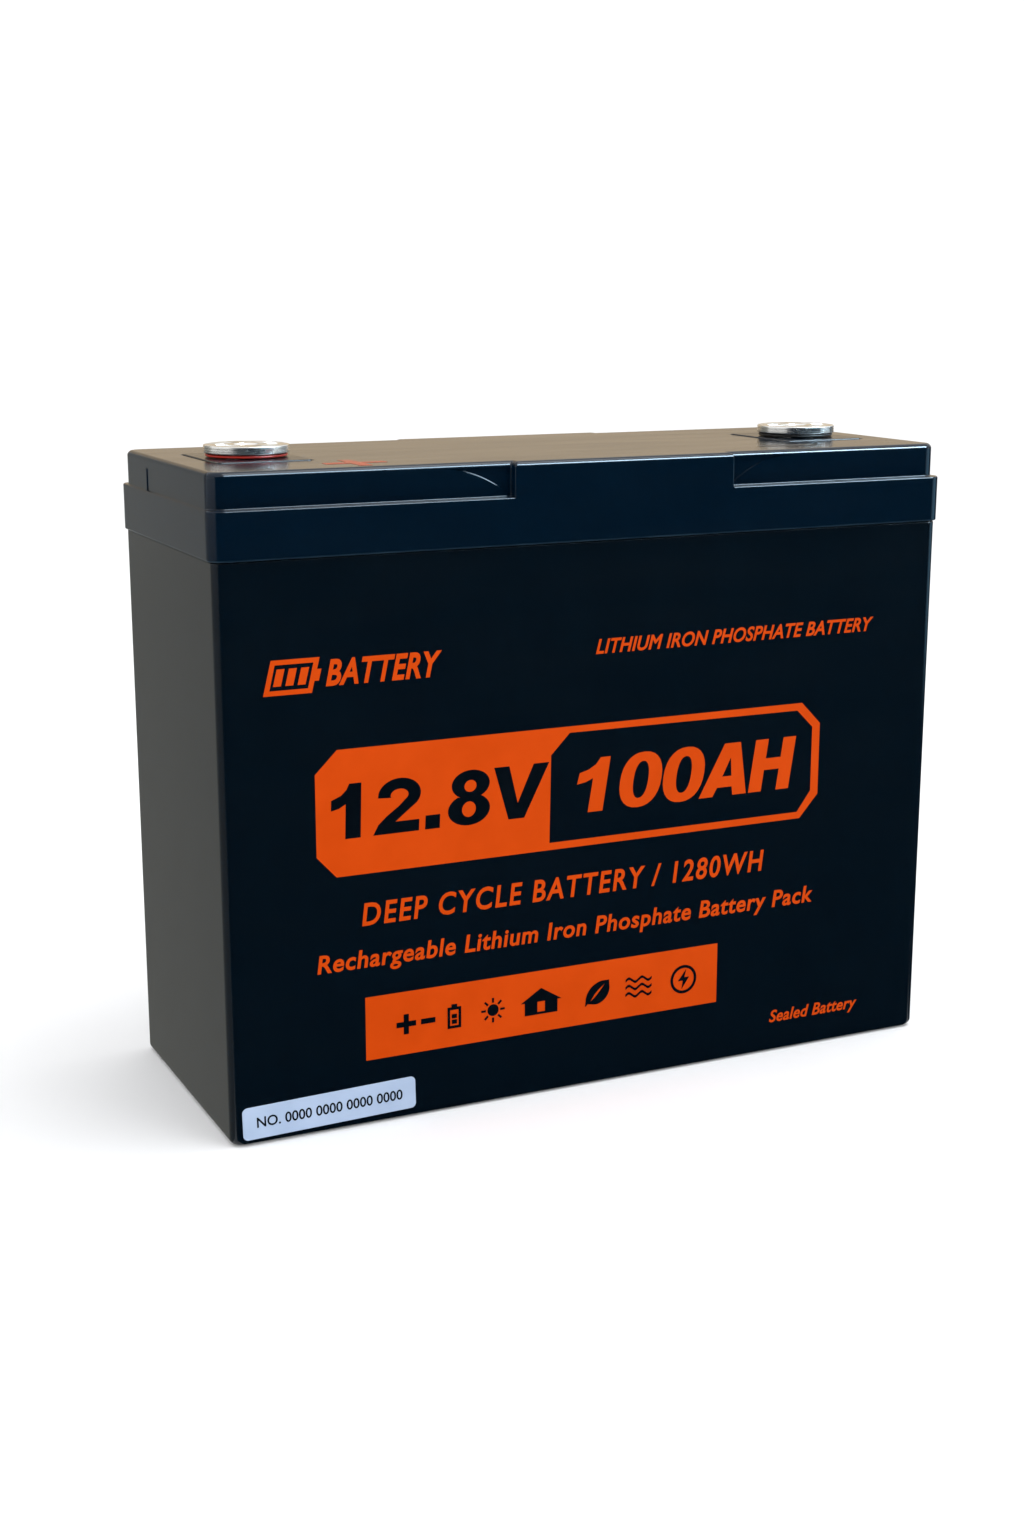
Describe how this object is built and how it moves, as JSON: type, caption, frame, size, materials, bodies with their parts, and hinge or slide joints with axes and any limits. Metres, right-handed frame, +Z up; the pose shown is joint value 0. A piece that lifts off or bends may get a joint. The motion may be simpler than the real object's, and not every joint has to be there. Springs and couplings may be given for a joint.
{
  "type": "lithium iron phosphate battery pack",
  "caption": "Sealed lithium iron phosphate battery pack: tall narrow moulded case, bonded lid with finger ledges, flat screw-down disc terminals on top.",
  "frame": {"origin": "middle of the case's footprint, on the surface that it stands on", "axes": "+X along the case's length towards the negative terminal, +Y through its depth from the printed front to the back, +Z up"},
  "size_m": [0.26, 0.1, 0.2143],
  "materials": {
    "case_abs": "satin-gloss moulded ABS, blue-black",
    "seat_abs": "fine-textured black ABS",
    "plated_brass": "bright tin plating over turned brass",
    "red_rubber": "moulded red rubber",
    "black_rubber": "moulded black rubber",
    "zinc_steel": "bright zinc plating",
    "plated_copper": "nickel-plated copper strip",
    "cell_wrap": "blue insulating sleeve over an aluminium can",
    "foam": "closed-cell foam",
    "glass_epoxy": "glass-epoxy sheet",
    "tray_abs": "moulded black ABS",
    "circuit_board": "green solder mask",
    "aluminium": "extruded, as sawn",
    "white_nylon": "natural nylon",
    "wire_silicone": "red silicone insulation",
    "strapping_tape": "glass-filament tape",
    "label_film": "white polyester label",
    "orange_ink": "screen-printed orange ink",
    "black_ink": "screen-printed black ink"
  },
  "bodies": {
    "root": {"case_container": "case_abs", "case_lid": "case_abs", "serial_label": "label_film", "positive_seat": "seat_abs", "positive_gasket": "red_rubber", "positive_terminal": "plated_brass", "positive_lock_nut": "zinc_steel", "positive_strap_screw": "zinc_steel", "positive_strap": "plated_copper", "negative_seat": "seat_abs", "negative_gasket": "black_rubber", "negative_terminal": "plated_brass", "negative_lock_nut": "zinc_steel", "negative_strap_screw": "zinc_steel", "load_negative_strap": "plated_copper", "cell_negative_strap": "plated_copper", "cell_1": "cell_wrap", "cell_2": "cell_wrap", "cell_3": "cell_wrap", "cell_4": "cell_wrap", "cell_1_front_nut": "zinc_steel", "cell_1_back_nut": "zinc_steel", "cell_2_front_nut": "zinc_steel", "cell_2_back_nut": "zinc_steel", "cell_3_front_nut": "zinc_steel", "cell_3_back_nut": "zinc_steel", "cell_4_front_nut": "zinc_steel", "cell_4_back_nut": "zinc_steel", "busbar_1_2": "plated_copper", "busbar_2_3": "plated_copper", "busbar_3_4": "plated_copper", "separator_1_2": "glass_epoxy", "separator_2_3": "glass_epoxy", "separator_3_4": "glass_epoxy", "left_end_pad": "foam", "right_end_pad": "foam", "base_pad": "foam", "lower_strapping": "strapping_tape", "upper_strapping": "strapping_tape", "board_tray": "tray_abs", "protection_board": "circuit_board", "heat_sink": "aluminium", "board_screw_1": "zinc_steel", "board_screw_2": "zinc_steel", "board_screw_3": "zinc_steel", "board_screw_4": "zinc_steel", "balance_connector": "white_nylon", "balance_wire_cell_1": "wire_silicone", "balance_wire_cells_1_2": "wire_silicone", "balance_wire_cells_2_3": "wire_silicone", "balance_wire_cells_3_4": "wire_silicone"}
  },
  "joints": []
}
